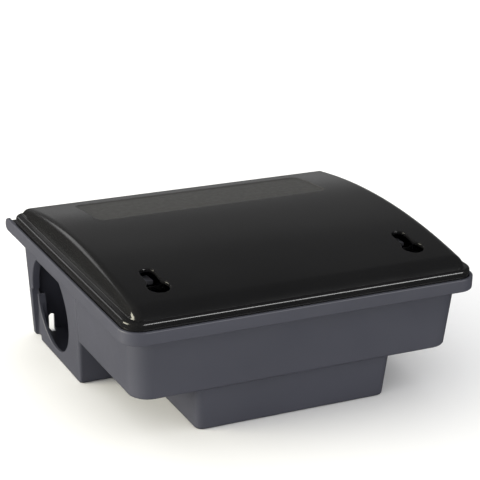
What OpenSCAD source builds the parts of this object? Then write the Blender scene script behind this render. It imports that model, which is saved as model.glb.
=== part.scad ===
// Tamper-resistant bait station: a moulded base with a runway across the back and a bait well at the
// front, under a hinged and locked lid. Millimetres. X runs across the front, Y from front to back and
// Z up. The origin is under the middle of the rim, on the surface that the station stands on.

/* [Overall] */
// Width across the rim
body_w = 255; // [235:1:275]
// Depth from the rim's front to the tips of its rear ears
body_d = 222; // [210:1:240]
// Height of the rim's top edge
rim_top = 84; // [82:1:92]
// Height of the middle of the crowned lid
body_h = 104.5; // [102:0.5:112]

/* [Base] */
// Thickness of the moulded walls
wall = 2.2; // [1.8:0.1:2.6]
// Slope of the upright walls, in degrees
draft = 4.5; // [3:0.5:6]
// Height of the rim band
rim_h = 9; // [8:0.5:11]
// Height of the underside of the front tray
tray_z = 31.5; // [28:0.5:36]
// Width of the tray's underside
tray_w = 231; // [224:1:234]
// Width of the runway at the ground
runway_w = 228; // [222:1:230]
// Width of the bait well at the ground
well_w = 139; // [130:1:150]

/* [Entrances] */
// Radius of the entrance's upper part
entry_r = 35; // [32:0.5:37]
// Height at which its upper and lower parts meet
entry_z = 37; // [35:0.5:39]
// Height of its flat top edge
entry_top = 64; // [58:0.5:68]

/* [Lid] */
// Gap from the rim's outer face to the lid's skirt
lid_inset = 2.5; // [2.4:0.1:3]
// Width of the flat ledge at each end of the lid
ledge_w = 5; // [4:0.5:8]
// Radius of the crown, from front to back
crown_r = 530; // [500:10:560]
// Distance of the keyholes from the middle
key_x = 92.5; // [85:0.5:98]

/* [Bait] */
// Diameter of the steel bait rods
rod_d = 3; // [2.5:0.5:4]
// Width and height of a bait block
block_w = 28; // [24:1:30]
// Length of a bait block along its rod
block_l = 46; // [36:1:50]

/* [Hidden] */

$fn = 96;
EPS = 0.01;
SHELL_GREY = "#2f3034";
LID_BLACK = "#17181a";
STEEL = "#b9bcc0";
TRAY_GREY = "#3a3c40";
BAIT_BLUE = "#3d7f93";

slope = tan(draft);
front = -body_d / 2;
back = body_d / 2;

// Base: corner radii, and the Y of each wall at the height where its sub-part starts
rim_r = 14;
rim_z = rim_top - rim_h;
shelf_t = 2.2;
shelf_back = back - 12;
tray_r = 13;
tray_front = front + 11.5;
runway_r = 2;
runway_inner_r = 0.5;
runway_front = -0.5;
runway_back = 92;
well_r = 5;
well_front = front + 18;
rear_lip_h = 5.5;
rear_lip_y = runway_back + rim_z * slope;

// Openings in the base
entry_y = 49.5;
entry_low_r = 29.5;
channel_y = [75, 87.5];
channel_x = runway_w / 2 - 3;
jamb_top = entry_top + 2;
slot_w = 4.5;
slot_x = 100.5;
slot_y = 84;
slot_top = 13;
screw_d = 5;
screw_x = 75;
screw_y = 46;

// Wall between the runway and the bait chamber, with a way through in the middle
passage_w = 60;
partition_y = 1.5;
partition_top = rim_top + 2;

// Lid
lid_w = body_w - 2 * lid_inset;
lid_front = front + lid_inset;
lid_back = back - 9.5;
lid_r = rim_r - lid_inset;
lid_back_r = 8;
lid_t = 2.2;
lid_z = rim_z + shelf_t + 1.3;
ledge_z = rim_top + 5.5;
crown_w = lid_w - 2 * ledge_w;
crown_y = -5.5;
panel_w = 176;
panel_y = [31.5, 80];
panel_depth = 0.7;
key_y = -79.5;
key_r = 7.5;
key_slot_w = 10;
key_slot_end = -56.5;

// Hinge: the ears' round ends, the lid's knuckles and the pins share one axis
hinge_y = back - rim_h / 2;
hinge_z = rim_z + rim_h / 2;
knuckle_r = 2.8;
pin_r = 1.5;
fit = 0.05;
gap = 0.3;
ear_x = body_w / 2 - wall;
knuckle_x = [ear_x - 6.3, ear_x - gap];
lug_x = [knuckle_x[0] - gap - 3, knuckle_x[0] - gap];
lug_neck = 1;
stop_nose = [4.4, 3.8];

// Latches: a lever on a pin, with a tongue that stands under the keyhole's slot
latch_w = 8;
latch_t = 2.4;
latch_y = -53;
latch_z = 41;
latch_top = 95.5;
latch_pin_r = 1.25;
tongue_front = -62;
catch_gap = 0.7;
catch_lip = 2;
bracket_t = 2.2;
bracket_r = 4.5;
spring_r = 2.6;
spring_wire = 0.9;
spring_turns = 3;
spring_pitch = 1.15;
spring_leg = 12;

// Bait tray, rods and blocks
liner_gap = 1.2;
liner_t = 1.6;
liner_y = [well_front + wall + 2, -6];
liner_h = 16;
rod_z = 43;
rod_y = [-68, -27];
rod_l = 122;
block_gap = 5;
block_x = (block_l + block_gap) / 2;

// ---------------------------------------------------------------- shared shapes

// Rectangle centred on X = 0 from y0 to y1, with its front and rear corners rounded
module rounded_plan(w, y0, y1, front_r, back_r) {
    mid = (y0 + y1) / 2;
    for (end = [[y0, front_r, 1], [y1, back_r, -1]]) {
        y = end[0];
        r = end[1];
        dir = end[2];
        translate([-w / 2 + r, min(y, mid)])
            square([w - 2 * r, abs(mid - y)]);
        translate([-w / 2, min(y + dir * r, mid)])
            square([w, abs(mid - y) - r]);
        for (side = [-1, 1])
            translate([side * (w / 2 - r), y + dir * r])
                circle(r);
    }
}

// Box whose four sides lean outwards as it rises
module drafted_box(w, y0, y1, z0, z1, r) {
    grow = (z1 - z0) * slope;
    hull() {
        translate([0, 0, z0])
            linear_extrude(EPS)
                rounded_plan(w, y0, y1, r, r, $fn = 32);
        translate([0, 0, z1 - EPS])
            linear_extrude(EPS)
                rounded_plan(w + 2 * grow, y0 - grow, y1 + grow, r + grow / 2, r + grow / 2, $fn = 32);
    }
}

// Child shape on the right, and its mirror image on the left
module both_sides() {
    children();
    mirror([1, 0, 0])
        children();
}

// Cylinder along X between two X values
module bar_x(x, y, z, r) {
    translate([x[0], y, z])
        rotate([0, 90, 0])
            cylinder(r = r, h = x[1] - x[0]);
}

// Box between two corners
module block(low, high) {
    translate(low)
        cube(high - low);
}

// ---------------------------------------------------------------- base

module tub_outside() {
    drafted_box(runway_w, runway_front, runway_back, 0, rim_z + EPS, runway_r);
    drafted_box(tray_w, tray_front, runway_front + 30, tray_z, rim_z + EPS, tray_r);
    drafted_box(well_w, well_front, runway_front + 20, 0, tray_z + wall, well_r);
}

module tub_inside() {
    top = rim_z + shelf_t + 1;
    grow = wall * slope;
    drafted_box(runway_w - 2 * wall + 2 * grow, runway_front + wall, runway_back - wall + grow,
                wall, top, runway_inner_r);
    drafted_box(tray_w - 2 * wall + 2 * grow, tray_front + wall - grow, runway_front + 30,
                tray_z + wall, top, tray_r - wall);
    drafted_box(well_w - 2 * wall + 2 * grow, well_front + wall - grow, runway_front - grow,
                wall, tray_z + wall + 1, well_r - wall);
}

// The band round the front and sides, and the shelf that joins it to the walls
module rim() {
    translate([0, 0, rim_z])
        linear_extrude(rim_h)
            difference() {
                rounded_plan(body_w, front, shelf_back, rim_r, 1);
                translate([0, wall])
                    rounded_plan(body_w - 2 * wall, front, shelf_back + 10, rim_r - wall, 1);
            }
    translate([0, 0, rim_z])
        linear_extrude(shelf_t)
            rounded_plan(body_w, front, shelf_back, rim_r, 1);
    block([-runway_w / 2, rear_lip_y - wall, rim_z], [runway_w / 2, rear_lip_y, rim_z + rear_lip_h]);
}

// Ear with a round end, and the inner lug beside the lid's knuckle with the nose that stops the lid
module hinge_ear() {
    block([ear_x, shelf_back - 5, rim_z], [body_w / 2, hinge_y, rim_top]);
    bar_x([ear_x, body_w / 2], hinge_y, hinge_z, rim_h / 2);
    bar_x(lug_x, hinge_y, hinge_z, knuckle_r);
    block([lug_x[0], rear_lip_y - wall, hinge_z - knuckle_r], [lug_x[1], hinge_y, hinge_z + lug_neck]);
    block([lug_x[0], hinge_y, hinge_z - knuckle_r],
          [lug_x[1], hinge_y + stop_nose[0], hinge_z + stop_nose[1]]);
}

// Two lugs on the tray's floor that hold a latch's pin
module latch_bracket() {
    for (side = [-1, 1]) {
        x = key_x + side * (latch_w / 2 + gap + bracket_t / 2);
        span = [x - bracket_t / 2, x + bracket_t / 2];
        bar_x(span, latch_y, latch_z, bracket_r);
        block([span[0], latch_y - bracket_r, tray_z + wall / 2], [span[1], latch_y + bracket_r, latch_z]);
    }
}

module partition() {
    foot_x = (runway_w - wall) / 2;
    head_x = foot_x + rim_z * slope;
    translate([0, partition_y + wall, 0])
        rotate([90, 0, 0])
            linear_extrude(wall)
                polygon([[passage_w / 2, wall / 2], [foot_x, wall / 2], [head_x, rim_z],
                         [head_x, partition_top], [passage_w / 2, partition_top]]);
}

// Way through from the runway to the well, at floor height
module passage() {
    block([-passage_w / 2, runway_front - 3, wall],
          [passage_w / 2, partition_y + wall + 1, tray_z + wall + 1]);
}

// Part of a disc between two heights; every disc touches the entrance's front end
module entrance_part(r, low, high) {
    intersection() {
        translate([entry_y - entry_r + r, entry_z])
            circle(r);
        translate([entry_y - entry_r, low])
            square([2 * entry_r, high - low]);
    }
}

// Opening with a wide arc under its flat top edge and a tighter arc as its floor
module entrance() {
    translate([channel_x - 4, 0, 0])
        rotate([90, 0, 90])
            linear_extrude(body_w / 2 - channel_x + 10) {
                entrance_part(entry_r, entry_z, entry_top);
                entrance_part(entry_low_r, entry_z - entry_low_r, entry_z);
            }
}

// Thicker strip of the end wall behind the entrance: the jamb, and the lining of the channel below it
module jamb() {
    lean = jamb_top * slope;
    translate([0, channel_y[1] + wall, 0])
        rotate([90, 0, 0])
            linear_extrude(channel_y[1] - channel_y[0] + 2 * wall)
                polygon([[channel_x - wall, wall / 2], [runway_w / 2, wall / 2],
                         [runway_w / 2 + lean, jamb_top], [channel_x - wall + lean, jamb_top]]);
}

// Upright channel in the outside of the jamb
module channel_cut() {
    block([channel_x, channel_y[0], -1], [body_w, channel_y[1], entry_z]);
}

// Slot with a round top in the back wall, carried round the corner into the floor
module wall_slot() {
    round_z = slot_top - slot_w / 2;
    translate([slot_x, rear_lip_y + 10, round_z])
        rotate([90, 0, 0])
            cylinder(d = slot_w, h = 30);
    block([slot_x - slot_w / 2, slot_y, -1], [slot_x + slot_w / 2, rear_lip_y + 10, round_z]);
}

module base_shell() {
    color(SHELL_GREY)
        difference() {
            union() {
                difference() {
                    union() {
                        tub_outside();
                        rim();
                    }
                    tub_inside();
                }
                both_sides() {
                    hinge_ear();
                    latch_bracket();
                    partition();
                    jamb();
                }
            }
            passage();
            both_sides() {
                entrance();
                channel_cut();
                wall_slot();
                bar_x([lug_x[0] - 1, body_w / 2 - 0.7], hinge_y, hinge_z, pin_r);
                bar_x([key_x - 9, key_x + 9], latch_y, latch_z, latch_pin_r);
                translate([screw_x, screw_y, -1])
                    cylinder(d = screw_d, h = 10);
            }
        }
}

// ---------------------------------------------------------------- lid

// Crowned block between the lid's ends, with its skirt; inset shrinks it for the inside
module lid_block(inset) {
    linear_extrude(ledge_z - inset)
        rounded_plan(lid_w - 2 * inset, lid_front + inset, lid_back - inset,
                     lid_r - inset, lid_back_r - inset);
    intersection() {
        linear_extrude(body_h + 1)
            rounded_plan(crown_w - 2 * inset, lid_front + inset, lid_back - inset,
                         lid_r - inset, lid_back_r - inset);
        bar_x([-crown_w / 2 + inset, crown_w / 2 - inset], crown_y, body_h - crown_r,
              crown_r - inset, $fn = 400);
    }
}

// Blank recess near the lid's back edge, as deep all over
module panel_recess() {
    difference() {
        translate([0, 0, ledge_z - 5])
            linear_extrude(body_h)
                rounded_plan(panel_w, panel_y[0], panel_y[1], 6, 6);
        bar_x([-body_w / 2, body_w / 2], crown_y, body_h - crown_r, crown_r - panel_depth, $fn = 400);
    }
}

// Round hole with a slot that runs towards the back
module keyhole() {
    low = latch_top - 1.5;
    slot_end = key_slot_end - key_slot_w / 2;
    translate([key_x, key_y, low])
        cylinder(r = key_r, h = 20);
    translate([key_x, slot_end, low])
        cylinder(d = key_slot_w, h = 20);
    block([key_x - key_slot_w / 2, key_y, low], [key_x + key_slot_w / 2, slot_end, low + 20]);
}

// Lip that the tongue holds down, hung from the lid by two posts in front of the tongue
module lid_catch() {
    y = tongue_front - catch_gap;
    low = latch_top - latch_t - catch_lip - 0.6;
    for (side = [-1, 1]) {
        x = key_x + side * (key_r + catch_lip);
        block([x - catch_lip / 2, y - 4, low], [x + catch_lip / 2, y, body_h - 5]);
    }
    block([key_x - key_r - catch_lip, y - catch_lip, low], [key_x + key_r + catch_lip, y, low + catch_lip]);
}

module lid_knuckle() {
    bar_x(knuckle_x, hinge_y, hinge_z, knuckle_r);
    block([knuckle_x[0], lid_back - lid_t, hinge_z - 2], [knuckle_x[1], hinge_y, hinge_z + knuckle_r]);
}

module lid() {
    color(LID_BLACK)
        difference() {
            union() {
                difference() {
                    lid_block(0);
                    lid_block(lid_t);
                    block([-body_w, -body_d, -1], [body_w, body_d, lid_z]);
                    panel_recess();
                }
                both_sides() {
                    lid_catch();
                    lid_knuckle();
                }
            }
            both_sides() {
                keyhole();
                bar_x([knuckle_x[0] - 1, knuckle_x[1] + 1], hinge_y, hinge_z, pin_r + fit);
                block([lug_x[0] - gap, lid_back - lid_t - 1, lid_z - 1],
                      [lug_x[1] + gap, hinge_y + 5, hinge_z + lug_neck + gap]);
            }
        }
}

module hinge_pin() {
    color(STEEL)
        bar_x([lug_x[0] - 0.5, body_w / 2 - 0.7], hinge_y, hinge_z, pin_r);
}

// ---------------------------------------------------------------- latches

module latch() {
    x = [key_x - latch_w / 2, key_x + latch_w / 2];
    color(SHELL_GREY)
        difference() {
            union() {
                bar_x(x, latch_y, latch_z, bracket_r - 1);
                block([x[0], latch_y - latch_t / 2, latch_z], [x[1], latch_y + latch_t / 2, latch_top]);
                block([x[0], tongue_front, latch_top - latch_t], [x[1], latch_y + latch_t / 2, latch_top]);
            }
            bar_x([x[0] - 1, x[1] + 1], latch_y, latch_z, latch_pin_r + fit);
            block([key_x - 2.6, latch_y - 5, latch_z - 5], [key_x + 2.6, latch_y + 5, latch_z + 5]);
        }
}

module latch_pin() {
    reach = latch_w / 2 + gap + bracket_t;
    color(STEEL)
        bar_x([key_x - reach, key_x + reach], latch_y, latch_z, latch_pin_r);
}

// ---------------------------------------------------------------- latch springs

// Round wire along points that stay roughly square to X, as a closed mesh
module wire_along(points, r, sides = 8) {
    last = len(points) - 1;
    rings = [for (i = [0:last])
        let (along = points[min(i + 1, last)] - points[max(i - 1, 0)],
             t = along / norm(along),
             side = cross(t, [1, 0, 0]),
             u = side / norm(side),
             v = cross(u, t))
        for (k = [0:sides - 1])
            points[i] + r * (cos(360 * k / sides) * u + sin(360 * k / sides) * v)];
    skin = [for (i = [0:last - 1], k = [0:sides - 1])
        [i * sides + k, i * sides + (k + 1) % sides,
         (i + 1) * sides + (k + 1) % sides, (i + 1) * sides + k]];
    caps = [[for (k = [sides - 1:-1:0]) k], [for (k = [0:sides - 1]) last * sides + k]];
    polyhedron(rings, concat(skin, caps), convexity = 6);
}

// Torsion spring on the latch's pin: one leg lies behind the lever, the other above the tray's floor
function spring_path() =
    let (steps = 16 * spring_turns,
         width = spring_turns * spring_pitch,
         start = [key_x - width / 2, latch_y + spring_r, latch_z],
         end = [key_x + width / 2, latch_y + spring_r, latch_z])
    concat([start + [0, 0, spring_leg]],
           [for (i = [0:steps])
               [key_x + width * (i / steps - 0.5),
                latch_y + spring_r * cos(360 * spring_turns * i / steps),
                latch_z - spring_r * sin(360 * spring_turns * i / steps)]],
           [end - [0, 0, spring_leg / 3]]);

module latch_spring() {
    color(STEEL)
        wire_along(spring_path(), spring_wire / 2);
}

// ---------------------------------------------------------------- bait

// Lift-out tray with an upright at each end that holds the rods
module bait_tray() {
    inner_w = well_w - 2 * wall;
    w = inner_w - 2 * liner_gap;
    z = wall + gap;
    color(TRAY_GREY)
        difference() {
            union() {
                difference() {
                    drafted_box(w, liner_y[0], liner_y[1], z, z + liner_h, 4);
                    drafted_box(w - 2 * liner_t, liner_y[0] + liner_t, liner_y[1] - liner_t,
                                z + liner_t, z + liner_h + 1, 3);
                }
                both_sides()
                    for (y = rod_y) {
                        block([rod_l / 2 - 2, y - 6, z + liner_t / 2], [rod_l / 2 + 1, y + 6, rod_z]);
                        bar_x([rod_l / 2 - 2, rod_l / 2 + 1], y, rod_z, 6);
                    }
            }
            for (y = rod_y)
                bar_x([-rod_l / 2 - 2, rod_l / 2 + 2], y, rod_z, rod_d / 2 + fit);
        }
}

// Straight steel rod that carries two blocks
module bait_rod(y) {
    color(STEEL)
        bar_x([-rod_l / 2 - 2, rod_l / 2 + 2], y, rod_z, rod_d / 2);
}

// Wax block with grooved sides and a hole for its rod
module bait_block(x, y) {
    color(BAIT_BLUE)
        translate([x - block_l / 2, y, rod_z])
            rotate([90, 0, 90])
                linear_extrude(block_l)
                    difference() {
                        square(block_w, center = true);
                        circle(d = rod_d + 0.4);
                        for (turn = [0:90:270], across = [-1, 1])
                            rotate(turn)
                                translate([block_w / 2, across * block_w / 5])
                                    circle(block_w / 12);
                    }
}

// ---------------------------------------------------------------- nodes

base_shell();
lid();
mirror([1, 0, 0]) hinge_pin();  // hinge_pin_left
hinge_pin();  // hinge_pin_right
mirror([1, 0, 0]) latch();  // latch_left
latch();  // latch_right
mirror([1, 0, 0]) latch_pin();  // latch_pin_left
latch_pin();  // latch_pin_right
mirror([1, 0, 0]) latch_spring();  // latch_spring_left
latch_spring();  // latch_spring_right
bait_tray();
bait_rod(rod_y[0]);  // bait_rod_front
bait_rod(rod_y[1]);  // bait_rod_rear
bait_block(-block_x, rod_y[0]);  // bait_block_front_left
bait_block(block_x, rod_y[0]);  // bait_block_front_right
bait_block(-block_x, rod_y[1]);  // bait_block_rear_left
bait_block(block_x, rod_y[1]);  // bait_block_rear_right
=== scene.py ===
import math

import bmesh
import bpy
from mathutils import Matrix, Vector, noise


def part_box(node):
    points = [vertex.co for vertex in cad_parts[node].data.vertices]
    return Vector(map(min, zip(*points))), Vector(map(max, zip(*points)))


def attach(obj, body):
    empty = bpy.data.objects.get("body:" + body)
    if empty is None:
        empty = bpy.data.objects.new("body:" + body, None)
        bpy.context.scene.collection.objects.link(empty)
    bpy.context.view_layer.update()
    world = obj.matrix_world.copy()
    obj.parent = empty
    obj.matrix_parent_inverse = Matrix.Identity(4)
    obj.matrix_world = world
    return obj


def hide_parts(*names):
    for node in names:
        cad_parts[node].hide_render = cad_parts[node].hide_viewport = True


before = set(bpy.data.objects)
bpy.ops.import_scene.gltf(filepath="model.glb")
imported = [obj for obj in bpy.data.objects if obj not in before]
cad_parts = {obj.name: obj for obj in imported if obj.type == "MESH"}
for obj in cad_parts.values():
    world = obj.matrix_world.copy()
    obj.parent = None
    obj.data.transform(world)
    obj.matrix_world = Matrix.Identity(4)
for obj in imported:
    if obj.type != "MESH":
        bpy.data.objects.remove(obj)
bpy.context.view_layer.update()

MM = 0.001


def box_mm(node):
    """Lowest and highest corner of a CAD node, in millimetres."""
    low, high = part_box(node)
    return low / MM, high / MM


BASE_LOW, BASE_HIGH = box_mm("base_shell")
LID_LOW, LID_HIGH = box_mm("lid")

# ---------------------------------------------------------------- sizes, in millimetres

WALL = 2.2
SLOPE = math.tan(math.radians(4.5))

RIM_W = BASE_HIGH.x - BASE_LOW.x
RIM_FRONT = BASE_LOW.y
PARTITION_TOP = BASE_HIGH.z
RIM_TOP = PARTITION_TOP - 2
RIM_H = 9
RIM_Z = RIM_TOP - RIM_H
RIM_R = 14
RIM_EDGE = 0.8
SHELF_T = 2.2
SHELF_BACK = BASE_HIGH.y - 12

TRAY = {"width": 231, "front": RIM_FRONT + 11.5, "back": 30, "radius": 13, "low": 31.5, "fillet": 2}
RUNWAY = {"width": 228, "front": -0.5, "back": 92, "radius": 2, "low": 0, "fillet": 2}
WELL = {"width": 139, "front": RIM_FRONT + 18, "back": 20, "radius": 5, "low": 0, "fillet": 2}
REAR_Y = RUNWAY["back"] + RIM_Z * SLOPE
REAR_LIP_H = 5.5

ENTRY_Y = 49.5
ENTRY_Z = 37
ENTRY_R = 35
ENTRY_LOW_R = 29.5
ENTRY_TOP = 64
CHANNEL_Y = (75, 87.5)
CHANNEL_X = RUNWAY["width"] / 2 - 3
JAMB_TOP = ENTRY_TOP + 2
SLOT_X = 100.5
SLOT_Y = 84
SLOT_TOP = 13
SLOT_W = 4.5
SCREW = (75, 46)
SCREW_R = 2.5
PASSAGE_W = 60
PARTITION_Y = 1.5

LID_W = RIM_W - 5
LID_FRONT = LID_LOW.y
LID_BACK = BASE_HIGH.y - 9.5
LID_R = 11.5
LID_BACK_R = 8
LID_T = 2.2
LID_Z = RIM_Z + SHELF_T + 1.3
LEDGE_Z = RIM_TOP + 5.5
LEDGE_W = 5
LEDGE_LIP = 2.4
LIP_R = 2.1
CROWN_TOP = LID_HIGH.z
CROWN_R = 530
CROWN_Y = -5.5
CROWN_TILT = 10
EDGE_TILT = 58
EDGE_R = 14.7
END_R = 6

KEY_X = 92.5
KEY_Y = -79.5
KEY_R = 7.5
KEY_SLOT_W = 10
KEY_SLOT_END = -56.5

PANEL_W = 176
PANEL_Y = (31.5, 80)
PANEL_R = 6
PANEL_DEPTH = 0.7

HINGE_Y = BASE_HIGH.y - RIM_H / 2
HINGE_Z = RIM_Z + RIM_H / 2
KNUCKLE_R = 2.8
PIN_R = 1.5
FIT = 0.05
EAR_X = RIM_W / 2 - WALL
KNUCKLE_X = (EAR_X - 6.3, EAR_X - 0.3)
LUG_X = (KNUCKLE_X[0] - 3.3, KNUCKLE_X[0] - 0.3)
LUG_NECK = 1
STOP_NOSE = (4.4, 3.8)

LATCH_Y = -53
LATCH_Z = 41
LATCH_W = 8
LATCH_T = 2.4
LATCH_TOP = 95.5
LATCH_PIN_R = 1.25
TONGUE_FRONT = -62
BRACKET_R = 4.5
BRACKET_T = 2.2
CATCH_Y = TONGUE_FRONT - 0.7
CATCH_LIP = 2
SPRING_R = 2.6
SPRING_WIRE = 0.9
SPRING_TURNS = 3
SPRING_PITCH = 1.15
SPRING_LEG = 12

LINER = {"width": 132.2, "front": RIM_FRONT + 22.2, "back": -6, "radius": 4, "low": 2.5, "fillet": 1.5}
LINER_T = 1.6
LINER_H = 16
UPRIGHT_R = 6
ROD_Z = 43
ROD_Y = {"front": -68, "rear": -27}
ROD_L = 122
ROD_R = 1.5
BAIT_W = 28
BAIT_L = 46
BAIT_X = {"left": -25.5, "right": 25.5}
BAIT_CORNER = 2.5

# ---------------------------------------------------------------- camera

CAMERA_AZIMUTH = -26.9
CAMERA_ELEVATION = 21.06
CAMERA_ROLL = 2.05
CAMERA_DISTANCE = 1108.7
CAMERA_AIM = (-42.9, 119.7)
CAMERA_LENS = 127.9


def make_camera():
    """Camera at the photograph's angle.

    Its aim is a point in the plane through the middle of the rim's front.
    """
    turn = math.radians(CAMERA_AZIMUTH)
    rise = math.radians(CAMERA_ELEVATION)
    roll = math.radians(CAMERA_ROLL)
    back = Vector((math.sin(turn) * math.cos(rise), -math.cos(turn) * math.cos(rise), math.sin(rise)))
    level = Vector((math.cos(turn), math.sin(turn), 0))
    upright = back.cross(level)
    right = math.cos(roll) * level + math.sin(roll) * upright
    up = math.cos(roll) * upright - math.sin(roll) * level
    place = Vector((0, RIM_FRONT, 0)) + CAMERA_DISTANCE * back + CAMERA_AIM[0] * right + CAMERA_AIM[1] * up
    data = bpy.data.cameras.new("camera")
    data.lens = CAMERA_LENS
    data.clip_start = 0.01
    camera = bpy.data.objects.new("camera", data)
    bpy.context.scene.collection.objects.link(camera)
    turned = Matrix((right, up, back)).transposed().to_4x4()
    camera.matrix_world = Matrix.Translation(place * MM) @ turned
    bpy.context.scene.camera = camera


make_camera()

# ---------------------------------------------------------------- mesh tools


def add_object(name, bm):
    mesh = bpy.data.meshes.new(name)
    bmesh.ops.recalc_face_normals(bm, faces=bm.faces)
    bm.to_mesh(mesh)
    bm.free()
    obj = bpy.data.objects.new(name, mesh)
    bpy.context.scene.collection.objects.link(obj)
    return obj


def rounded(width, front, back, front_r, back_r, side=1, arc=8):
    """Rounded rectangle, anticlockwise from the front right corner, as (x, y, share that faces sideways)."""
    right = []
    for centre, radius, start in ((front + front_r, front_r, -90), (back - back_r, back_r, 0)):
        for step in range(arc + 1):
            turn = math.radians(start + 90 * step / arc)
            x = width / 2 - radius + radius * math.cos(turn)
            right.append((x, centre + radius * math.sin(turn), math.cos(turn) ** 2))
    low, high = right[arc], right[arc + 1]
    between = [(low[0], low[1] + (high[1] - low[1]) * k / side, 1) for k in range(1, side)]
    right = right[:arc + 1] + between + right[arc + 1:]
    return right + [(-x, y, share) for x, y, share in reversed(right)]


def ring(points, height):
    """Loop of 3-D points over an outline; height is a number or a function of y and the sideways share."""
    if callable(height):
        return [Vector((x, y, height(y, share))) for x, y, share in points]
    return [Vector((x, y, height)) for x, y, share in points]


def cap(bm, loop, strips):
    """Closes a loop with one face, or with strips across X between mirrored points."""
    if not strips:
        bm.faces.new(loop)
        return
    count = len(loop)
    for i in range(count // 2 - 1):
        bm.faces.new((loop[i], loop[i + 1], loop[count - 2 - i], loop[count - 1 - i]))


def loft(name, rings, strips=False, closed=False):
    """Skin over loops of equally many points, with a cap at each end unless it closes on itself."""
    bm = bmesh.new()
    loops = [[bm.verts.new(point * MM) for point in loop] for loop in rings]
    pairs = list(zip(loops, loops[1:]))
    if closed:
        pairs.append((loops[-1], loops[0]))
    for low, high in pairs:
        for i in range(len(low)):
            bm.faces.new((low[i - 1], low[i], high[i], high[i - 1]))
    if not closed:
        cap(bm, loops[0], strips)
        cap(bm, loops[-1], strips)
    return add_object(name, bm)


def fillet(radius, steps=5):
    """(outwards, up) points of the rounding between a floor and a wall that leans outwards by SLOPE."""
    lean = math.atan(SLOPE)
    centre = -radius * (1 - math.sin(lean)) / math.cos(lean)
    turns = [(math.pi / 2 - lean) * k / steps for k in range(steps + 1)]
    return [(centre + radius * math.sin(t), radius - radius * math.cos(t)) for t in turns]


def tub(name, spec, high, inset=0, floor=0):
    """Leaning tub with a rounded lower edge; inset and floor shrink it to the space inside."""
    radius = max(spec["fillet"] - inset, 1)
    start = floor * SLOPE - inset * math.sqrt(1 + SLOPE ** 2)
    low = spec["low"] + floor
    profile = [(start + out, up) for out, up in fillet(radius)]
    profile.append((start + (high - low) * SLOPE, high - low))
    rings = []
    for out, up in profile:
        corner = max(spec["radius"] - inset + (out + inset) / 2, 0.5)
        plan = rounded(spec["width"] + 2 * out, spec["front"] - out, spec["back"] + out, corner, corner)
        rings.append(ring(plan, low + up))
    return loft(name, rings)


def bevel(obj, width):
    """Rounds the sharp edges of obj."""
    change = obj.modifiers.new("bevel", "BEVEL")
    change.width = width * MM
    change.segments = 2
    change.limit_method = "ANGLE"
    change.angle_limit = math.radians(40)
    bake(obj)
    return obj


def block(low, high):
    """Box between two corners."""
    plan = [(low[0], low[1], 0), (high[0], low[1], 0), (high[0], high[1], 0), (low[0], high[1], 0)]
    return loft("block", [ring(plan, low[2]), ring(plan, high[2])])


def bar_x(x, y, z, radius, edge=0.0, steps=40):
    """Cylinder along X between two X values, with its end edges rounded off by edge."""
    stations = [(x[0], 0), (x[1], 0)]
    if edge:
        stations = [(x[0], edge), (x[0] + edge, 0), (x[1] - edge, 0), (x[1], edge)]
    turns = [2 * math.pi * k / steps for k in range(steps)]
    rings = [[Vector((at, y + (radius - cut) * math.cos(t), z + (radius - cut) * math.sin(t))) for t in turns]
             for at, cut in stations]
    return loft("bar", rings)


def wire(name, path, radius, sides=14):
    """Round wire along a path that nowhere runs parallel to X for long."""
    rings = []
    for i, point in enumerate(path):
        along = (path[min(i + 1, len(path) - 1)] - path[max(i - 1, 0)]).normalized()
        across = along.cross(Vector((1, 0, 0))).normalized()
        other = across.cross(along)
        turns = [2 * math.pi * k / sides for k in range(sides)]
        rings.append([point + radius * (math.cos(t) * across + math.sin(t) * other) for t in turns])
    return loft(name, rings)


def mirrored(obj):
    """Copy of obj on the other side of X = 0."""
    copy = obj.copy()
    copy.data = obj.data.copy()
    bpy.context.scene.collection.objects.link(copy)
    copy.data.transform(Matrix.Scale(-1, 4, (1, 0, 0)))
    copy.data.flip_normals()
    return copy


def both(parts):
    """The parts and their mirror images."""
    return parts + [mirrored(part) for part in parts]


def combine(obj, parts, operation):
    """Joins parts to obj, or cuts them from it, and removes them; a part's material stays on its faces."""
    group = bpy.data.collections.new("operands")
    for part in parts:
        group.objects.link(part)
    change = obj.modifiers.new("combine", "BOOLEAN")
    change.operation = operation
    change.solver = "EXACT"
    if obj.data.materials:
        change.material_mode = "TRANSFER"
    change.operand_type = "COLLECTION"
    change.collection = group
    bake(obj)
    for part in parts:
        bpy.data.objects.remove(part)
    bpy.data.collections.remove(group)
    return obj


def bake(obj):
    """Applies obj's modifiers."""
    bpy.context.view_layer.update()
    graph = bpy.context.evaluated_depsgraph_get()
    mesh = bpy.data.meshes.new_from_object(obj.evaluated_get(graph))
    obj.modifiers.clear()
    obj.data = mesh


def soften(obj, angle=32):
    """Smooth shading with sharp edges kept, and normals that keep large flat faces flat."""
    for face in obj.data.polygons:
        face.use_smooth = True
    obj.data.set_sharp_from_angle(angle=math.radians(angle))
    change = obj.modifiers.new("normals", "WEIGHTED_NORMAL")
    change.keep_sharp = True
    change.weight = 100
    bake(obj)


def finish_piece(obj, name, body, slot, nodes, *materials):
    """Names a finished piece, gives it its materials and ties it to its body in place of its CAD nodes."""
    obj.name = name
    obj.data.name = name
    for material in materials:
        obj.data.materials.append(material)
    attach(obj, body)
    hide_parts(*nodes)


# ---------------------------------------------------------------- materials


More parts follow.
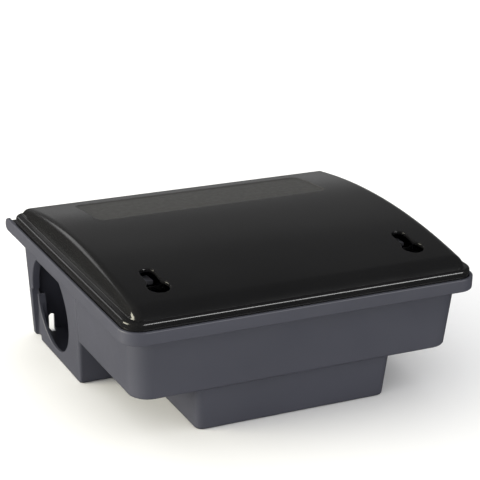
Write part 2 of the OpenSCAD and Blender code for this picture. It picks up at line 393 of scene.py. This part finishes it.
class Nodes:
    """Short way to build a node tree."""

    def __init__(self, name):
        self.material = bpy.data.materials.new(name)
        self.material.use_nodes = True
        self.tree = self.material.node_tree
        self.shader = self.tree.nodes["Principled BSDF"]

    def add(self, kind, **settings):
        node = self.tree.nodes.new(kind)
        for key, value in settings.items():
            setattr(node, key, value)
        return node

    def link(self, output, target):
        self.tree.links.new(output, target)

    def place(self):
        return self.add("ShaderNodeTexCoord").outputs["Object"]

    def noise(self, scale, detail=3, stretch=(1, 1, 1)):
        """Noise in object space, in cycles per metre."""
        mapping = self.add("ShaderNodeMapping")
        mapping.inputs["Scale"].default_value = stretch
        self.link(self.place(), mapping.inputs["Vector"])
        node = self.add("ShaderNodeTexNoise")
        node.inputs["Scale"].default_value = scale
        node.inputs["Detail"].default_value = detail
        self.link(mapping.outputs["Vector"], node.inputs["Vector"])
        return node.outputs["Fac"]

    def spread(self, value, low, high, start=0.3, end=0.7):
        """Maps a value from start..end to low..high."""
        node = self.add("ShaderNodeMapRange")
        node.inputs["From Min"].default_value = start
        node.inputs["From Max"].default_value = end
        node.inputs["To Min"].default_value = low
        node.inputs["To Max"].default_value = high
        self.link(value, node.inputs["Value"])
        return node.outputs["Result"]

    def colours(self, value, first, second, start=0.3, end=0.7):
        ramp = self.add("ShaderNodeValToRGB")
        ramp.color_ramp.elements[0].position = start
        ramp.color_ramp.elements[0].color = (*first, 1)
        ramp.color_ramp.elements[1].position = end
        ramp.color_ramp.elements[1].color = (*second, 1)
        self.link(value, ramp.inputs["Fac"])
        return ramp.outputs["Color"]

    def mix(self, factor, first, second):
        node = self.add("ShaderNodeMix", data_type="RGBA")
        self.link(factor, node.inputs["Factor"])
        self.link(first, node.inputs["A"])
        if isinstance(second, tuple):
            node.inputs["B"].default_value = (*second, 1)
        else:
            self.link(second, node.inputs["B"])
        return node.outputs["Result"]

    def bumps(self, *layers):
        """Bump from (height, strength, distance in metres) layers, one on top of the other."""
        last = None
        for height, strength, distance in layers:
            node = self.add("ShaderNodeBump")
            node.inputs["Strength"].default_value = strength
            node.inputs["Distance"].default_value = distance
            self.link(height, node.inputs["Height"])
            if last:
                self.link(last, node.inputs["Normal"])
            last = node.outputs["Normal"]
        self.link(last, self.shader.inputs["Normal"])

    def worn_edges(self, radius):
        """1 on convex and concave edges, 0 on flat faces."""
        bevel = self.add("ShaderNodeBevel", samples=4)
        bevel.inputs["Radius"].default_value = radius
        geometry = self.add("ShaderNodeNewGeometry")
        dot = self.add("ShaderNodeVectorMath", operation="DOT_PRODUCT")
        self.link(bevel.outputs["Normal"], dot.inputs[0])
        self.link(geometry.outputs["Normal"], dot.inputs[1])
        return self.spread(dot.outputs["Value"], 1, 0, 0.80, 0.995)


def moulded(name, dark, light, roughness, grain, edge):
    """Moulded plastic with a fine spark-eroded grain, faint flow marks and paler edges."""
    nodes = Nodes(name)
    flow = nodes.noise(9, 4, (1, 1, 2.5))
    colour = nodes.colours(flow, dark, light)
    scuffs = nodes.spread(nodes.noise(260, 6), 0, 0.55, 0.45, 0.75)
    worn = nodes.add("ShaderNodeMath", operation="MULTIPLY")
    nodes.link(nodes.worn_edges(0.0006), worn.inputs[0])
    nodes.link(scuffs, worn.inputs[1])
    nodes.link(nodes.mix(worn.outputs["Value"], colour, edge), nodes.shader.inputs["Base Color"])
    nodes.link(nodes.spread(nodes.noise(45, 5), *roughness), nodes.shader.inputs["Roughness"])
    nodes.bumps((nodes.noise(2600, 2), grain, 0.00006), (nodes.noise(35, 2), 0.12, 0.0002))
    return nodes.material


def glossy(name):
    """Polished black moulding with orange peel, fine rubbing marks and a little dust."""
    nodes = Nodes(name)
    dust = nodes.spread(nodes.noise(1500, 2), 0, 0.5, 0.66, 0.80)
    colour = nodes.colours(nodes.noise(12, 3), (0.0075, 0.0075, 0.0080), (0.0095, 0.0095, 0.0100))
    nodes.link(nodes.mix(dust, colour, (0.03, 0.03, 0.03)), nodes.shader.inputs["Base Color"])
    nodes.link(nodes.spread(nodes.noise(38, 4), 0.17, 0.22), nodes.shader.inputs["Roughness"])
    nodes.bumps((nodes.noise(420, 2), 0.03, 0.00005), (nodes.noise(24, 1), 0.04, 0.0002))
    return nodes.material


def textured_panel(name):
    """The lid's recessed panel: the same black plastic with a coarse matt grain."""
    nodes = Nodes(name)
    colour = nodes.colours(nodes.noise(900, 4), (0.048, 0.048, 0.047), (0.058, 0.058, 0.056))
    nodes.link(colour, nodes.shader.inputs["Base Color"])
    nodes.link(nodes.spread(nodes.noise(300, 4), 0.42, 0.52), nodes.shader.inputs["Roughness"])
    nodes.bumps((nodes.noise(1900, 3), 0.5, 0.0001))
    return nodes.material


def drawn_steel(name, tint):
    """Drawn wire: bright metal with lengthwise die marks and a few dull patches."""
    nodes = Nodes(name)
    nodes.shader.inputs["Metallic"].default_value = 1
    dull = tuple(0.72 * part for part in tint)
    nodes.link(nodes.colours(nodes.noise(300, 4), dull, tint), nodes.shader.inputs["Base Color"])
    marks = nodes.noise(5000, 2, (0.02, 1, 1))
    nodes.link(nodes.spread(marks, 0.22, 0.38), nodes.shader.inputs["Roughness"])
    nodes.bumps((marks, 0.15, 0.00003))
    return nodes.material


def pressed_bait(name):
    """Wax with pressed grain: blue-green, with paler husks and darker crumbs."""
    nodes = Nodes(name)
    wax = nodes.colours(nodes.noise(60, 5), (0.020, 0.130, 0.200), (0.040, 0.210, 0.290))
    cells = nodes.add("ShaderNodeTexVoronoi")
    cells.inputs["Scale"].default_value = 420
    nodes.link(nodes.place(), cells.inputs["Vector"])
    husk = nodes.spread(cells.outputs["Distance"], 1, 0, 0.12, 0.42)
    husk_colour = nodes.colours(nodes.noise(330, 3), (0.08, 0.17, 0.16), (0.30, 0.30, 0.18))
    nodes.link(nodes.mix(husk, wax, husk_colour), nodes.shader.inputs["Base Color"])
    nodes.link(nodes.spread(nodes.noise(150, 4), 0.45, 0.62), nodes.shader.inputs["Roughness"])
    nodes.shader.inputs["Subsurface Weight"].default_value = 0.15
    nodes.shader.inputs["Subsurface Scale"].default_value = 0.001
    nodes.bumps((cells.outputs["Distance"], 0.5, 0.0006), (nodes.noise(900, 3), 0.4, 0.0003))
    return nodes.material


SHELL = moulded("shell_plastic", (0.054, 0.056, 0.075), (0.062, 0.064, 0.085),
                (0.42, 0.50), 0.25, (0.11, 0.11, 0.12))
LATCH = moulded("latch_plastic", (0.055, 0.055, 0.064), (0.066, 0.066, 0.074),
                (0.34, 0.44), 0.15, (0.12, 0.12, 0.13))
TRAY_PLASTIC = moulded("tray_plastic", (0.066, 0.068, 0.072), (0.080, 0.082, 0.086),
                       (0.42, 0.54), 0.30, (0.14, 0.14, 0.15))
LID = glossy("lid_plastic")
PANEL = textured_panel("lid_panel_grain")
PIN_STEEL = drawn_steel("pin_steel", (0.56, 0.57, 0.59))
SPRING_STEEL = drawn_steel("spring_steel", (0.44, 0.45, 0.47))
ROD_STEEL = drawn_steel("rod_steel", (0.60, 0.61, 0.62))
WAX = pressed_bait("bait_wax")

# ---------------------------------------------------------------- lid


def crown(y):
    """Height of the crown's outer face."""
    return CROWN_TOP - CROWN_R + math.sqrt(CROWN_R ** 2 - (y - CROWN_Y) ** 2)


def lid_ring(dx, dy, end_height, edge_height):
    """Loop of the lid: inset by dx at the ends and dy at the front and back, with a height for each."""
    cut = (dx + dy) / 2
    plan = rounded(LID_W - 2 * dx, LID_FRONT + dy, LID_BACK - dy,
                   max(LID_R - cut, 1), max(LID_BACK_R - cut, 0.8), side=96, arc=12)
    return ring(plan, lambda y, share: share * end_height(y) + (1 - share) * edge_height(y))


def level_ring(inset, height):
    return lid_ring(inset, inset, lambda y: height, lambda y: height)


def edge_arc(tilt):
    """Inset and height function of the crown's broad front and back rounding, where it tilts by tilt."""
    steep = math.radians(EDGE_TILT)
    angle = math.radians(tilt)
    width = EDGE_R * (math.sin(steep) - math.sin(math.radians(CROWN_TILT)))
    drop = EDGE_R * (math.cos(math.radians(CROWN_TILT)) - math.cos(angle))

    def height(y):
        start = min(max(y, LID_FRONT + LEDGE_LIP + width), LID_BACK - LEDGE_LIP - width)
        return max(crown(start) - drop, LEDGE_Z + 0.15)

    return LEDGE_LIP + EDGE_R * (math.sin(steep) - math.sin(angle)), height


def end_rounding(y):
    """How far the rounding along the crown's end reaches down: less where the crown meets the ledge."""
    return min(END_R, crown(y) - LEDGE_Z - 1)


def outer_rings():
    """The lid's outside: the skirt, a ledge all the way round with a rounded outer edge, and the crown."""
    rings = [level_ring(0.4, LID_Z), level_ring(0, LID_Z + 0.4)]
    for turn in range(0, 91, 18):
        angle = math.radians(turn)
        rings.append(level_ring(LIP_R * (1 - math.cos(angle)), LEDGE_Z - LIP_R * (1 - math.sin(angle))))
    root = 0.8
    for turn in range(0, 91, 30):
        angle = math.radians(turn)
        rings.append(lid_ring(LEDGE_W - root + root * math.sin(angle), LEDGE_LIP - 0.15 + turn / 600,
                              lambda y, a=angle: LEDGE_Z + root * (1 - math.cos(a)),
                              lambda y, t=turn: LEDGE_Z + t / 900))
    for turn in range(0, 91, 9):
        angle = math.radians(turn)
        dy, height = edge_arc(EDGE_TILT + (CROWN_TILT - EDGE_TILT) * turn / 90)
        rings.append(lid_ring(LEDGE_W + 0.3 + END_R * (1 - math.cos(angle)), dy,
                              lambda y, a=angle: crown(y) - end_rounding(y) * (1 - math.sin(a)), height))
    support = 0.8
    rings.append(lid_ring(LEDGE_W + 0.3 + END_R + support, dy + support, crown, crown))
    return rings


def inner_rings():
    """The lid's inside, from the ceiling down to the skirt's lower edge."""
    def under(depth):
        return lambda y: crown(y) - LID_T - depth

    def below_ledge(depth):
        return lambda y: LEDGE_Z - depth

    return [lid_ring(LEDGE_W + 3.4, 11.5, under(0), under(0)),
            lid_ring(LEDGE_W + 2.6, 6.3, under(0.8), under(2.6)),
            lid_ring(LEDGE_W + 2.2, 2.9, below_ledge(LID_T - 0.1), below_ledge(1.6)),
            lid_ring(3, 2.5, below_ledge(LID_T), below_ledge(LID_T)),
            level_ring(LID_T, LEDGE_Z - LID_T - 0.8),
            level_ring(LID_T, LID_Z + 0.4),
            level_ring(LID_T - 0.4, LID_Z)]


def keyhole_plan(grow, arc=16):
    """Round hole with a narrower slot behind it, grown outwards by grow."""
    radius = KEY_R + grow
    half = KEY_SLOT_W / 2 + grow
    neck = math.asin(half / radius)
    slot_end = KEY_SLOT_END - KEY_SLOT_W / 2
    points = []
    for step in range(2 * arc + 1):
        turn = math.pi / 2 + neck + (2 * math.pi - 2 * neck) * step / (2 * arc)
        points.append((KEY_X + radius * math.cos(turn), KEY_Y + radius * math.sin(turn), 0))
    for step in range(arc + 1):
        turn = math.pi * step / arc
        points.append((KEY_X + half * math.cos(turn), slot_end + half * math.sin(turn), 0))
    return points


def keyhole_cutter(lip=0.7):
    """Keyhole with a rounded upper edge."""
    rings = [ring(keyhole_plan(0), LATCH_TOP - 1.5)]
    for turn in range(0, 76, 15):
        angle = math.radians(turn)
        rings.append(ring(keyhole_plan(lip * (1 - math.cos(angle))),
                          lambda y, share, a=angle: crown(y) - lip * (1 - math.sin(a))))
    rings.append(ring(keyhole_plan(lip * 1.5), lambda y, share: crown(y) + 1))
    return loft("keyhole", rings)


def panel_cutter():
    """Shallow recess with sloping sides near the back edge."""
    rings = []
    for out, rise in ((-1.4, -PANEL_DEPTH), (0, -0.1), (0.3, 0.1), (1.3, 1)):
        plan = rounded(PANEL_W + 2 * out, PANEL_Y[0] - out, PANEL_Y[1] + out,
                       PANEL_R + out, PANEL_R + out, side=40)
        rings.append(ring(plan, lambda y, share, r=rise: crown(y) + r))
    cutter = loft("panel", rings, strips=True)
    cutter.data.materials.append(PANEL)
    return cutter


def catch_parts():
    """Lip that the tongue holds down, on two posts under the crown."""
    low = LATCH_TOP - LATCH_T - CATCH_LIP - 0.6
    reach = KEY_R + CATCH_LIP
    parts = [block((KEY_X - reach, CATCH_Y - CATCH_LIP, low), (KEY_X + reach, CATCH_Y, low + CATCH_LIP))]
    for x in (KEY_X - reach, KEY_X + reach):
        parts.append(block((x - CATCH_LIP / 2, CATCH_Y - 4, low),
                           (x + CATCH_LIP / 2, CATCH_Y, CROWN_TOP - 5)))
    return parts


def knuckle_parts():
    """Knuckle on the hinge pin, with the foot that joins it to the lid's back wall."""
    return [bar_x(KNUCKLE_X, HINGE_Y, HINGE_Z, KNUCKLE_R),
            block((KNUCKLE_X[0], LID_BACK - LID_T, HINGE_Z - 2),
                  (KNUCKLE_X[1], HINGE_Y, HINGE_Z + KNUCKLE_R))]


def knuckle_cuts():
    """Bore for the hinge pin, and the room for the base's lug."""
    return [bar_x((KNUCKLE_X[0] - 1, KNUCKLE_X[1] + 1), HINGE_Y, HINGE_Z, PIN_R + FIT),
            block((LUG_X[0] - 0.3, LID_BACK - LID_T - 1, LID_Z - 1),
                  (LUG_X[1] + 0.3, HINGE_Y + 5, HINGE_Z + LUG_NECK + 0.3))]


def make_lid():
    lid = loft("lid", inner_rings() + outer_rings(), strips=True)
    lid.data.materials.append(LID)
    combine(lid, both(catch_parts() + knuckle_parts()), "UNION")
    combine(lid, both([keyhole_cutter()] + knuckle_cuts()) + [panel_cutter()], "DIFFERENCE")
    soften(lid)
    finish_piece(lid, "lid_moulding", "lid", "lid_plastic", ["lid"])


make_lid()

# ---------------------------------------------------------------- base


def rim_rings(inset, low, high, edge, back):
    """Loft of the rim band with its lower and upper edges rounded."""
    rings = []
    turns = [math.radians(turn) for turn in range(0, 91, 18)]
    profile = [(edge * (1 - math.sin(turn)), edge * (1 - math.cos(turn))) for turn in turns]
    heights = [(cut, low + rise) for cut, rise in profile]
    heights += [(cut, high - rise) for cut, rise in reversed(profile)]
    for cut, z in heights:
        out = inset + cut
        plan = rounded(RIM_W - 2 * out, RIM_FRONT + out, back, RIM_R - out, 1)
        rings.append(ring(plan, z))
    return rings


def rim_hollow():
    """Space inside the rim band, open at the back, with the band's upper inner edge rounded."""
    rings = []
    shelf = RIM_Z + SHELF_T
    for cut, z in ((WALL + 0.6, shelf), (WALL + 0.2, shelf + 0.2), (WALL, shelf + 0.7),
                   (WALL, RIM_TOP - 0.6), (WALL - 0.2, RIM_TOP - 0.2),
                   (WALL - 0.6, RIM_TOP), (WALL - 0.6, RIM_TOP + 1)):
        plan = rounded(RIM_W - 2 * cut, RIM_FRONT + cut, BASE_HIGH.y + 20, RIM_R - cut, 1)
        rings.append(ring(plan, z))
    return loft("rim_hollow", rings)


def wall_x(z):
    """X of the runway's end wall, outside, at a height."""
    return RUNWAY["width"] / 2 + z * SLOPE


def entry_outline(grow, arc=40):
    """Entrance as (y, z): a wide arc under a flat top edge, and a tighter arc as its floor."""
    wide = ENTRY_R + grow
    tight = ENTRY_LOW_R + grow
    tight_y = ENTRY_Y - ENTRY_R + ENTRY_LOW_R
    end = math.asin((ENTRY_TOP - ENTRY_Z + grow) / wide)
    points = []
    for start in (0, math.pi - end):
        for step in range(arc + 1):
            turn = start + end * step / arc
            points.append((ENTRY_Y + wide * math.cos(turn), ENTRY_Z + wide * math.sin(turn)))
    for step in range(1, 2 * arc + 1):
        turn = math.pi + math.pi * step / (2 * arc)
        points.append((tight_y + tight * math.cos(turn), ENTRY_Z + tight * math.sin(turn)))
    return points


def entrance_cutter(lip=0.8):
    """Entrance through the right wall, with its outer edge rounded."""
    stations = [(-8, 0)]
    for turn in range(0, 76, 15):
        angle = math.radians(turn)
        stations.append((-lip * (1 - math.sin(angle)), lip * (1 - math.cos(angle))))
    stations.append((6, 2 * lip))
    rings = [[Vector((wall_x(z) + out, y, z)) for y, z in entry_outline(grow)] for out, grow in stations]
    return loft("entrance", rings)


def channel_cutter(lip=0.8):
    """Upright channel in the right wall, with rounded outer edges and corners."""
    near, far = CHANNEL_Y
    profile = [(CHANNEL_X + 1, near), (CHANNEL_X + 0.3, near + 0.3), (CHANNEL_X, near + 1),
               (CHANNEL_X, far - 1.5), (CHANNEL_X + 0.4, far - 0.4), (CHANNEL_X + 1.5, far)]
    rings = []
    for z in (-1, ENTRY_Z):
        rear = [(wall_x(z) - lip * (1 - math.sin(a)), far + lip * (1 - math.cos(a)))
                for a in map(math.radians, range(0, 76, 15))]
        front = [(x, near + far - y) for x, y in reversed(rear)]
        outside = [(RIM_W / 2, far + 2 * lip), (RIM_W / 2, near - 2 * lip)]
        rings.append([Vector((x, y, z)) for x, y in profile + rear + outside + front])
    return loft("channel", rings)


def slot_cutters():
    """Slot with a round top in the back wall, carried round the corner into the floor."""
    round_z = SLOT_TOP - SLOT_W / 2
    turns = [math.pi * step / 16 for step in range(17)]
    plan = [(SLOT_X + SLOT_W / 2 * math.cos(t), round_z + SLOT_W / 2 * math.sin(t)) for t in turns]
    plan += [(SLOT_X - SLOT_W / 2, -1), (SLOT_X + SLOT_W / 2, -1)]
    return [loft("slot", [[Vector((x, y, z)) for x, z in plan] for y in (SLOT_Y, REAR_Y + 10)])]


def upright_hole(x, y, radius, depth=10):
    turns = [2 * math.pi * k / 32 for k in range(32)]
    plan = [(x + radius * math.cos(t), y + radius * math.sin(t), 0) for t in turns]
    return loft("hole", [ring(plan, -1), ring(plan, depth)])


def ear():
    """Plate with a round end that carries a hinge pin, its edges rounded."""
    radius = RIM_H / 2
    edge = 0.5
    rings = []
    for x, cut in ((EAR_X, 0), (BASE_HIGH.x - edge, 0), (BASE_HIGH.x - 0.15, 0.2), (BASE_HIGH.x, edge)):
        reach = radius - cut
        points = [Vector((x, SHELF_BACK - 6, HINGE_Z - reach))]
        for step in range(17):
            turn = math.radians(-90 + 180 * step / 16)
            points.append(Vector((x, HINGE_Y + reach * math.cos(turn), HINGE_Z + reach * math.sin(turn))))
        points.append(Vector((x, SHELF_BACK - 6, HINGE_Z + reach)))
        rings.append(points)
    return loft("ear", rings)


def lug_parts():
    """Lug beside the lid's knuckle, with the nose that stops the opening lid."""
    return [bar_x(LUG_X, HINGE_Y, HINGE_Z, KNUCKLE_R),
            block((LUG_X[0], REAR_Y - WALL, HINGE_Z - KNUCKLE_R), (LUG_X[1], HINGE_Y, HINGE_Z + LUG_NECK)),
            block((LUG_X[0], HINGE_Y, HINGE_Z - KNUCKLE_R),
                  (LUG_X[1], HINGE_Y + STOP_NOSE[0], HINGE_Z + STOP_NOSE[1]))]


def bracket_parts():
    """Two lugs on the tray's floor that hold a latch's pin."""
    parts = []
    for side in (-1, 1):
        middle = KEY_X + side * (LATCH_W / 2 + 0.3 + BRACKET_T / 2)
        span = (middle - BRACKET_T / 2, middle + BRACKET_T / 2)
        parts.append(bar_x(span, LATCH_Y, LATCH_Z, BRACKET_R))
        parts.append(block((span[0], LATCH_Y - BRACKET_R, TRAY["low"] + WALL / 2),
                           (span[1], LATCH_Y + BRACKET_R, LATCH_Z)))
    return parts


def partition():
    """Half of the wall between the runway and the bait chamber."""
    foot = (RUNWAY["width"] - WALL) / 2
    head = foot + RIM_Z * SLOPE
    outline = [(PASSAGE_W / 2, WALL / 2), (foot, WALL / 2), (head, RIM_Z), (head, PARTITION_TOP - 0.5),
               (head - 0.5, PARTITION_TOP), (PASSAGE_W / 2 + 0.5, PARTITION_TOP),
               (PASSAGE_W / 2, PARTITION_TOP - 0.5)]
    faces = (PARTITION_Y, PARTITION_Y + WALL)
    return loft("partition", [[Vector((x, y, z)) for x, z in outline] for y in faces])


def jamb():
    """Thicker strip of the end wall behind the entrance: the jamb, and the lining of the channel below it."""
    outline = [(CHANNEL_X - WALL + (z - WALL / 2) * SLOPE, z) for z in (WALL / 2, JAMB_TOP)]
    outline += [(wall_x(z) - 0.5, z) for z in (JAMB_TOP, WALL / 2)]
    ends = (CHANNEL_Y[0] - WALL, CHANNEL_Y[1] + WALL)
    return loft("jamb", [[Vector((x, y, z)) for x, z in outline] for y in ends])


def make_base():
    base = loft("base", rim_rings(0, RIM_Z, RIM_TOP, RIM_EDGE, SHELF_BACK))
    top = RIM_Z + 0.5
    combine(base, [tub("tray", TRAY, top), tub("runway", RUNWAY, top), tub("well", WELL, TRAY["low"] + WALL)],
            "UNION")
    over = RIM_Z + SHELF_T + 1
    combine(base, [tub("tray", TRAY, over, WALL, WALL), tub("runway", RUNWAY, over, WALL, WALL),
                   tub("well", WELL, TRAY["low"] + WALL + 1, WALL, WALL), rim_hollow()], "DIFFERENCE")
    half_w = RUNWAY["width"] / 2
    rear_lip = block((-half_w, REAR_Y - WALL, RIM_Z), (half_w, REAR_Y, RIM_Z + REAR_LIP_H))
    fittings = [ear(), partition(), jamb()] + lug_parts() + bracket_parts()
    combine(base, both(fittings) + [rear_lip], "UNION")
    passage = block((-PASSAGE_W / 2, RUNWAY["front"] - 3, WALL),
                    (PASSAGE_W / 2, PARTITION_Y + WALL + 1, TRAY["low"] + WALL + 1))
    cuts = [entrance_cutter(), channel_cutter()] + slot_cutters()
    bores = [bar_x((LUG_X[0] - 1, BASE_HIGH.x - 0.7), HINGE_Y, HINGE_Z, PIN_R),
             bar_x((KEY_X - 9, KEY_X + 9), LATCH_Y, LATCH_Z, LATCH_PIN_R),
             upright_hole(*SCREW, SCREW_R)]
    combine(base, both(cuts + bores) + [passage], "DIFFERENCE")
    soften(base)
    finish_piece(base, "base_moulding", "base", "shell_plastic", ["base_shell"], SHELL)


make_base()

# ---------------------------------------------------------------- hinge pins and latches


def pin(x, y, z, radius):
    """Cut length of wire with its end edges dressed."""
    return bar_x(x, y, z, radius, edge=0.25)


def make_latch():
    """Lever on its pin, with the tongue that stands under the keyhole."""
    x = (KEY_X - LATCH_W / 2, KEY_X + LATCH_W / 2)
    rear = LATCH_Y + LATCH_T / 2
    latch = bar_x(x, LATCH_Y, LATCH_Z, BRACKET_R - 1)
    combine(latch, [block((x[0], LATCH_Y - LATCH_T / 2, LATCH_Z), (x[1], rear, LATCH_TOP)),
                    block((x[0], TONGUE_FRONT, LATCH_TOP - LATCH_T), (x[1], rear, LATCH_TOP))], "UNION")
    combine(latch, [bar_x((x[0] - 1, x[1] + 1), LATCH_Y, LATCH_Z, LATCH_PIN_R + FIT),
                    block((KEY_X - 2.6, LATCH_Y - 5, LATCH_Z - 5), (KEY_X + 2.6, LATCH_Y + 5, LATCH_Z + 5))],
            "DIFFERENCE")
    bevel(latch, 0.35)
    soften(latch)
    return latch


def make_spring():
    """Torsion spring on the latch's pin: one leg lies behind the lever, the other above the tray's floor."""
    steps = 32 * SPRING_TURNS
    width = SPRING_TURNS * SPRING_PITCH
    path = []
    for step in range(steps + 1):
        turn = 2 * math.pi * SPRING_TURNS * step / steps
        path.append(Vector((KEY_X + width * (step / steps - 0.5), LATCH_Y + SPRING_R * math.cos(turn),
                            LATCH_Z - SPRING_R * math.sin(turn))))
    path.insert(0, path[0] + Vector((0, 0, SPRING_LEG)))
    path.append(path[-1] - Vector((0, 0, SPRING_LEG / 3)))
    spring = wire("spring", path, SPRING_WIRE / 2)
    soften(spring, 60)
    return spring


reach = LATCH_W / 2 + 0.3 + BRACKET_T
fittings = {
    "hinge_pin": (pin((LUG_X[0] - 0.5, BASE_HIGH.x - 0.7), HINGE_Y, HINGE_Z, PIN_R),
                  "base", "pin_steel", PIN_STEEL),
    "latch_pin": (pin((KEY_X - reach, KEY_X + reach), LATCH_Y, LATCH_Z, LATCH_PIN_R),
                  "base", "pin_steel", PIN_STEEL),
    "latch": (make_latch(), "{}_latch", "latch_plastic", LATCH),
    "latch_spring": (make_spring(), "{}_latch", "spring_steel", SPRING_STEEL),
}
for node, (right, body, slot_name, look) in fittings.items():
    for side, obj in (("left", mirrored(right)), ("right", right)):
        finish_piece(obj, f"{node}_part_{side}", body.format(side), slot_name, [f"{node}_{side}"], look)

# ---------------------------------------------------------------- bait tray, rods and blocks


def make_bait_tray():
    """Lift-out tray with an upright at each end that holds the rods."""
    high = LINER["low"] + LINER_H
    tray = tub("bait_tray", LINER, high)
    combine(tray, [tub("inside", LINER, high + 1, LINER_T, LINER_T)], "DIFFERENCE")
    span = (ROD_L / 2 - 2, ROD_L / 2 + 1)
    uprights = []
    for y in ROD_Y.values():
        uprights.append(block((span[0], y - UPRIGHT_R, LINER["low"] + LINER_T / 2),
                              (span[1], y + UPRIGHT_R, ROD_Z)))
        uprights.append(bar_x(span, y, ROD_Z, UPRIGHT_R))
    combine(tray, both(uprights), "UNION")
    holes = [bar_x((-ROD_L / 2 - 2, ROD_L / 2 + 2), y, ROD_Z, ROD_R + FIT) for y in ROD_Y.values()]
    combine(tray, holes, "DIFFERENCE")
    bevel(tray, 0.3)
    soften(tray)
    finish_piece(tray, "bait_tray_moulding", "tray", "tray_plastic", ["bait_tray"], TRAY_PLASTIC)


def block_side(steps=36):
    """(along, depth) points of one side of a block: a flat with two grooves, then half of each corner."""
    half = BAIT_W / 2 - BAIT_CORNER
    points = []
    for step in range(steps + 1):
        along = half * (2 * step / steps - 1)
        aside = abs(abs(along) - BAIT_W / 5)
        groove = math.sqrt(max((BAIT_W / 12) ** 2 - aside ** 2, 0))
        points.append((along, groove))
    for turn in (22.5, 45, 67.5):
        angle = math.radians(turn)
        points.append((half + BAIT_CORNER * math.sin(angle), BAIT_CORNER * (1 - math.cos(angle))))
    return points


def crumbled(point):
    """Point moved towards the block's axis by an uneven 0 to 0.5 mm."""
    rough = 0.5 + 0.5 * noise.noise(point * 0.35) + 0.25 * noise.noise(point * 1.3)
    shrink = 1 - 0.018 * min(max(rough, 0), 1)
    return Vector((point.x, point.y * shrink, point.z * shrink))


def make_bait_block(x, y):
    """Wax block with grooved sides, crumbly edges and a hole for its rod."""
    section = []
    for quarter in range(4):
        turn = math.pi / 2 * quarter
        for along, depth in block_side():
            out = BAIT_W / 2 - depth
            section.append((out * math.cos(turn) - along * math.sin(turn),
                            out * math.sin(turn) + along * math.cos(turn)))
    stations = [(0, 0.93), (0.5, 0.97), (1.2, 0.99), (2, 1)]
    stations += [(2 + (BAIT_L - 4) * k / 28, 1) for k in range(1, 28)]
    stations += [(BAIT_L - at, size) for at, size in reversed(stations[:4])]
    rings = []
    for at, size in stations:
        rings.append([crumbled(Vector((at, size * across, size * up))) for across, up in section])
    shift = Vector((x - BAIT_L / 2, y, ROD_Z))
    bait = loft("bait", [[point + shift for point in loop] for loop in rings])
    combine(bait, [bar_x((x - BAIT_L / 2 - 1, x + BAIT_L / 2 + 1), y, ROD_Z, ROD_R + 0.2)], "DIFFERENCE")
    soften(bait, 50)
    return bait


make_bait_tray()
for row, y in ROD_Y.items():
    rod = pin((-ROD_L / 2 - 2, ROD_L / 2 + 2), y, ROD_Z, ROD_R)
    finish_piece(rod, f"bait_rod_part_{row}", "tray", "rod_steel", [f"bait_rod_{row}"], ROD_STEEL)
    for side, x in BAIT_X.items():
        bait = make_bait_block(x, y)
        finish_piece(bait, f"bait_part_{row}_{side}", "tray", "bait_wax", [f"bait_block_{row}_{side}"], WAX)

# ---------------------------------------------------------------- floor, light and background

ROOM_LIGHT = 1.1
ROOM_IN_REFLECTIONS = 0.05


def make_floor():
    """Pale floor, far larger than the view."""
    half = 3000
    plan = [(-half, -half, 0), (half, -half, 0), (half, half, 0), (-half, half, 0)]
    bm = bmesh.new()
    bm.faces.new([bm.verts.new(point * MM) for point in ring(plan, -0.05)])
    floor = add_object("floor", bm)
    nodes = Nodes("pale_floor")
    colour = nodes.colours(nodes.noise(3, 3), (0.93, 0.93, 0.93), (0.95, 0.95, 0.95))
    nodes.link(colour, nodes.shader.inputs["Base Color"])
    nodes.link(nodes.spread(nodes.noise(8, 3), 0.7, 0.8), nodes.shader.inputs["Roughness"])
    nodes.shader.inputs["Specular IOR Level"].default_value = 0.1
    floor.data.materials.append(nodes.material)
    floor.visible_glossy = False


def softbox(name, place, aim, width, height, power, colour=(1, 1, 1), diffuse=True):
    """Area light at a place, in metres, facing aim; without diffuse it only shows in reflections."""
    data = bpy.data.lights.new(name, "AREA")
    data.shape = "RECTANGLE"
    data.size = width
    data.size_y = height
    data.energy = power
    data.color = colour
    light = bpy.data.objects.new(name, data)
    bpy.context.scene.collection.objects.link(light)
    direction = Vector(aim) - Vector(place)
    light.rotation_euler = direction.to_track_quat("-Z", "Y").to_euler()
    light.location = place
    light.visible_diffuse = diffuse


def make_background():
    """White room for the eye and for diffuse light, and a dark one in reflections."""
    world = bpy.data.worlds.new("studio")
    bpy.context.scene.world = world
    world.use_nodes = True
    tree = world.node_tree
    light = tree.nodes["Background"]
    light.inputs["Color"].default_value = (1, 1, 1, 1)
    path = tree.nodes.new("ShaderNodeLightPath")
    strength = tree.nodes.new("ShaderNodeMapRange")
    strength.inputs["To Min"].default_value = ROOM_LIGHT
    strength.inputs["To Max"].default_value = ROOM_IN_REFLECTIONS
    tree.links.new(path.outputs["Is Glossy Ray"], strength.inputs["Value"])
    tree.links.new(strength.outputs["Result"], light.inputs["Strength"])


make_floor()
make_background()
softbox("low_back", (1.3, 2.6, 0.32), (0, 0, 0.05), 3.2, 0.6, 2.1)
softbox("mid_back", (1.3, 2.6, 1.05), (0, 0, 0.05), 3.2, 0.9, 1.1)
softbox("high_back", (1.3, 2.6, 1.95), (0, 0, 0.05), 3.2, 0.9, 0.5)
softbox("back_left", (-0.6, 1.35, 0.7), (0, 0, 0.05), 0.7, 0.35, 1.2)
softbox("left", (-1.4, 0.25, 0.35), (0, 0, 0.05), 0.9, 0.7, 26, (1, 0.96, 0.78))
softbox("front_right", (0.62, -1.28, 0.48), (0, 0, 0.05), 0.9, 0.4, 15, diffuse=False)

bpy.context.scene.view_settings.view_transform = "Standard"
